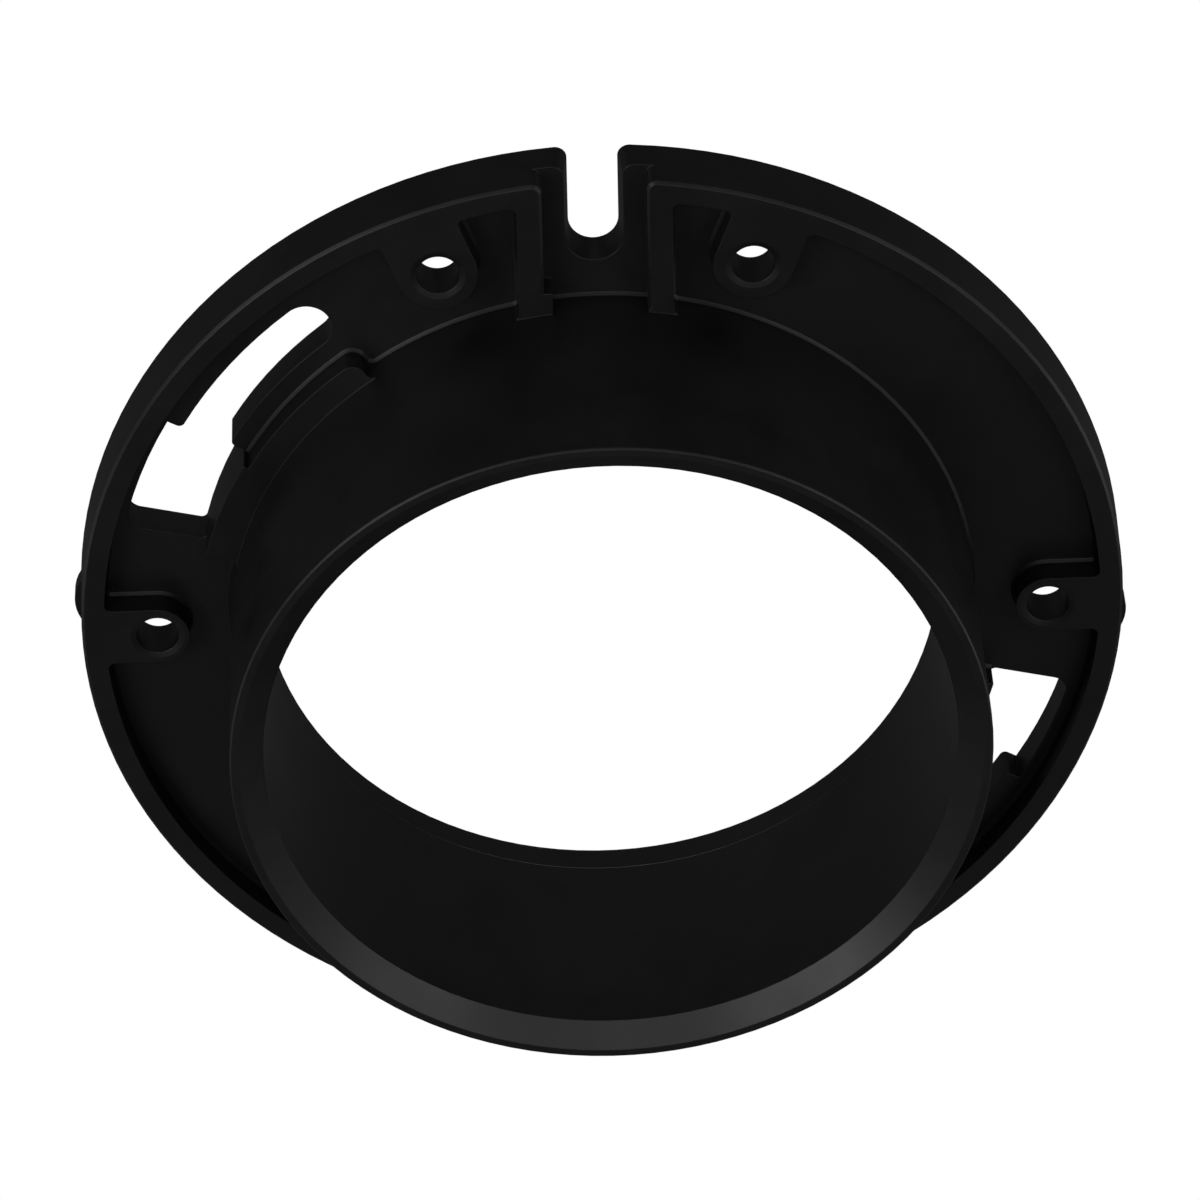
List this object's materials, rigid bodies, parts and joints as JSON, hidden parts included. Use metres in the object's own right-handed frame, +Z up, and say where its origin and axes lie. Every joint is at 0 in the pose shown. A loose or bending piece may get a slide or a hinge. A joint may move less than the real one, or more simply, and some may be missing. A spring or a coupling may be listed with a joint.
{
  "type": "closet flange",
  "caption": "Flat ring with a short pipe socket below, which fixes a toilet bowl to the floor and joins it to a soil pipe",
  "frame": {"origin": "on the bore's axis, at the plane where the skirt's lower edge sits on the finished floor", "axes": "+Z up through the bore toward the toilet bowl; +Y and -Y through the edge notches; +X and -X through the side screw holes"},
  "size_m": [0.18, 0.178, 0.0513],
  "materials": {
    "black_plastic": "semi-gloss moulded ABS"
  },
  "bodies": {
    "root": {"closet_flange": "black_plastic"}
  },
  "joints": []
}
